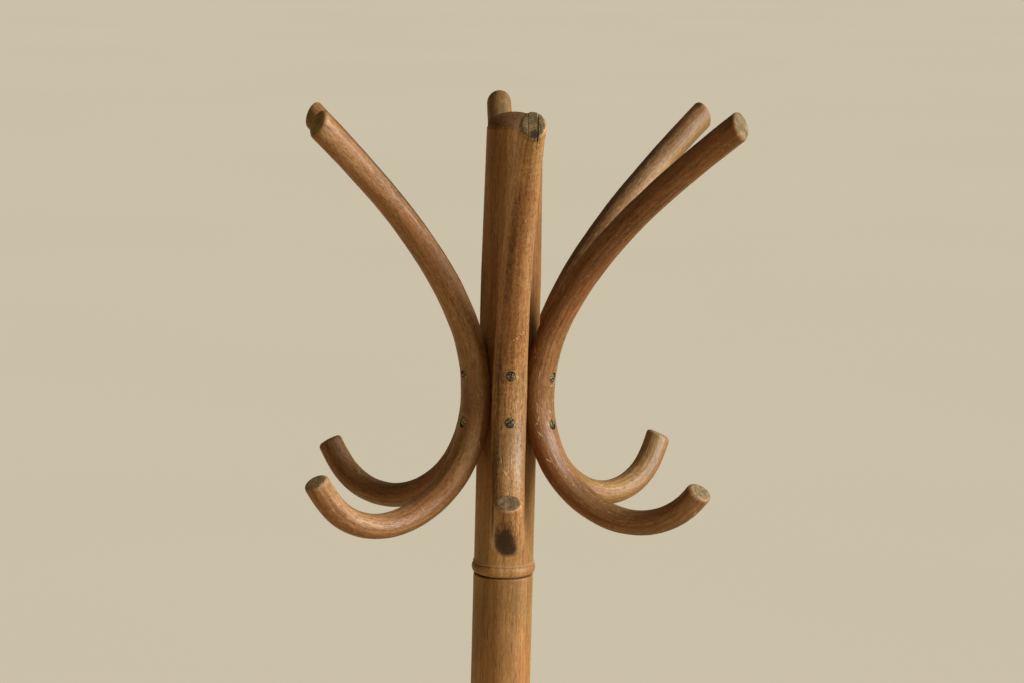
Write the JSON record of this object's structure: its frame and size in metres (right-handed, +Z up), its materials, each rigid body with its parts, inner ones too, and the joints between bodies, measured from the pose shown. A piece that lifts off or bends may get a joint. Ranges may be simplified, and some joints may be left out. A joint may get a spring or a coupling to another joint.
{
  "type": "standing coat rack",
  "caption": "Bentwood standing coat rack: turned post on curved legs with an umbrella ring, and a turning head of S-shaped hooks fixed with slotted wood screws.",
  "frame": {"origin": "on the floor under the post, at the centre of the bottom of the bounding box", "axes": "+Z up along the post; -Y is the front, towards the front hook and the front leg; +X to the right seen from the front"},
  "size_m": [0.5316, 0.5316, 1.8549],
  "materials": {
    "hook_wood": "aged brown stain on bent beech, worn satin, bare at the sawn ends",
    "head_wood": "aged brown stain on turned beech, worn satin",
    "post_wood": "honey-coloured turned beech, thin satin varnish",
    "leg_wood": "aged brown stain on bent beech, worn satin",
    "screw_steel": "darkened steel, worn bright round the slot",
    "spindle_steel": "plain turned steel, lightly greased",
    "glide_nylon": "dark moulded nylon"
  },
  "bodies": {
    "base": {"lower_post": "post_wood", "leg_front": "leg_wood", "leg_front_screw_upper": "screw_steel", "leg_front_screw_lower": "screw_steel", "leg_front_ring_screw": "screw_steel", "leg_front_glide": "glide_nylon", "leg_right": "leg_wood", "leg_right_screw_upper": "screw_steel", "leg_right_screw_lower": "screw_steel", "leg_right_ring_screw": "screw_steel", "leg_right_glide": "glide_nylon", "leg_back": "leg_wood", "leg_back_screw_upper": "screw_steel", "leg_back_screw_lower": "screw_steel", "leg_back_ring_screw": "screw_steel", "leg_back_glide": "glide_nylon", "leg_left": "leg_wood", "leg_left_screw_upper": "screw_steel", "leg_left_screw_lower": "screw_steel", "leg_left_ring_screw": "screw_steel", "leg_left_glide": "glide_nylon", "umbrella_ring": "leg_wood", "swivel_spindle": "spindle_steel", "swivel_washer": "spindle_steel"},
    "head": {"head_post": "head_wood", "hook_front": "hook_wood", "hook_front_screw_upper": "screw_steel", "hook_front_screw_lower": "screw_steel", "hook_front_right": "hook_wood", "hook_front_right_screw_upper": "screw_steel", "hook_front_right_screw_lower": "screw_steel", "hook_back_right": "hook_wood", "hook_back_right_screw_upper": "screw_steel", "hook_back_right_screw_lower": "screw_steel", "hook_back": "hook_wood", "hook_back_screw_upper": "screw_steel", "hook_back_screw_lower": "screw_steel", "hook_back_left": "hook_wood", "hook_back_left_screw_upper": "screw_steel", "hook_back_left_screw_lower": "screw_steel", "hook_front_left": "hook_wood", "hook_front_left_screw_upper": "screw_steel", "hook_front_left_screw_lower": "screw_steel"}
  },
  "joints": [
    {"name": "head_swivel", "type": "hinge", "parent": "base", "child": "head", "pos_m": [0, 0, 1.421], "axis": [0, 0, 1], "continuous": true}
  ]
}
